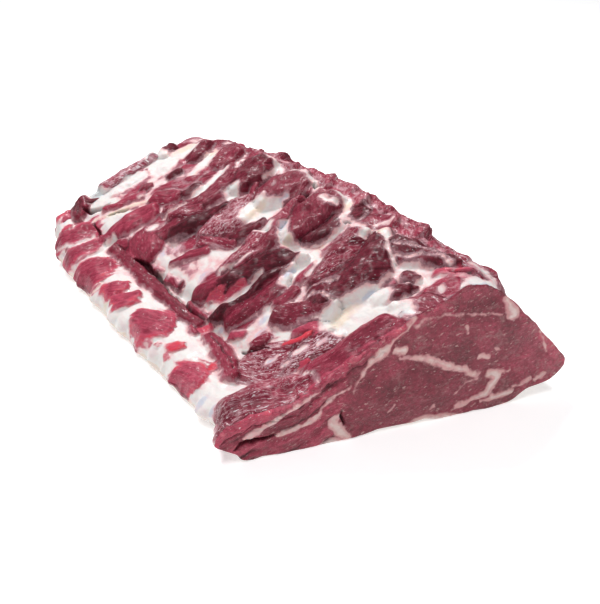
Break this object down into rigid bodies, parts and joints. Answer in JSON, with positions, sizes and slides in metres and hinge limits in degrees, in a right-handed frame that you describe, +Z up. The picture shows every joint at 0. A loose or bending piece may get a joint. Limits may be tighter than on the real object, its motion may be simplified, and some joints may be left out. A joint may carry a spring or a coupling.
{
  "type": "raw beef ribeye lip-on",
  "caption": "Boneless raw beef rib cut with its lip, lying bone side up: rib beds, step and back muscles in relief, cut flat at both ends.",
  "frame": {"origin": "centre of the bounding box in plan, on the surface that the meat lies on", "axes": "+X towards the shown cut face, +Y towards the backbone side, -Y towards the lip, +Z up"},
  "size_m": [0.4406, 0.273, 0.1146],
  "materials": {
    "raw_meat": "moist, red lean with white fat seams and a cream fat side"
  },
  "bodies": {
    "root": {"ribeye_lip_on": "raw_meat"}
  },
  "joints": []
}
